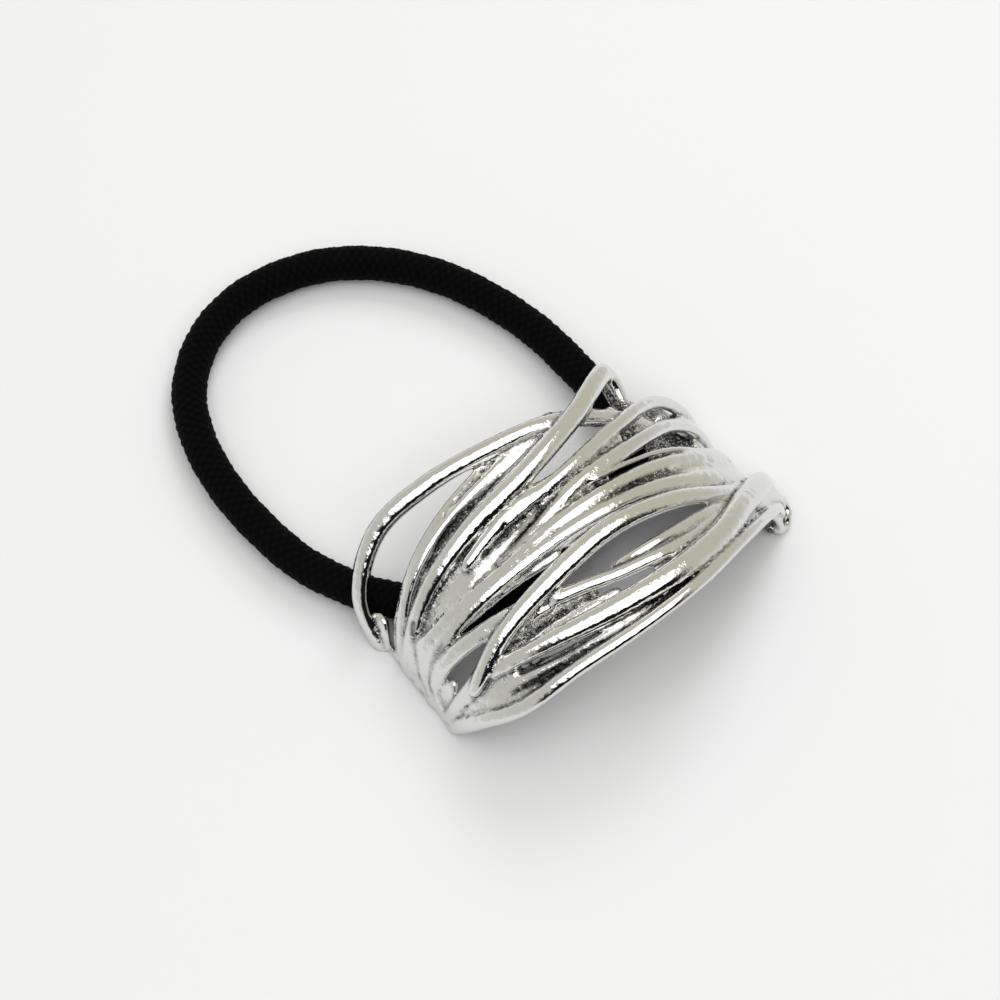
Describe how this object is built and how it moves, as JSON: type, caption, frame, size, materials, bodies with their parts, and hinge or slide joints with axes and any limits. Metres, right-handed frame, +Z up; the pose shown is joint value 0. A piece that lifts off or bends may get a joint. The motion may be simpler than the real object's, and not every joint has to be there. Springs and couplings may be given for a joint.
{
  "type": "metal cuff hair tie with an elastic loop",
  "caption": "Arched openwork cast metal cuff of interlaced strands that covers the tie of a ponytail, held by a round fabric-covered elastic loop.",
  "frame": {"origin": "middle of the cuff's outline on the surface that it stands on", "axes": "+X from the left foot to the right foot, +Y to the rear where the elastic loop lies, +Z up"},
  "size_m": [0.0656, 0.085, 0.0199],
  "materials": {
    "cuff_metal": "polished bright plating over a cast surface, rough in the grooves between strands",
    "elastic_cover": "matt black braided textile cover"
  },
  "bodies": {
    "root": {"cuff": "cuff_metal", "elastic_loop": "elastic_cover"}
  },
  "joints": []
}
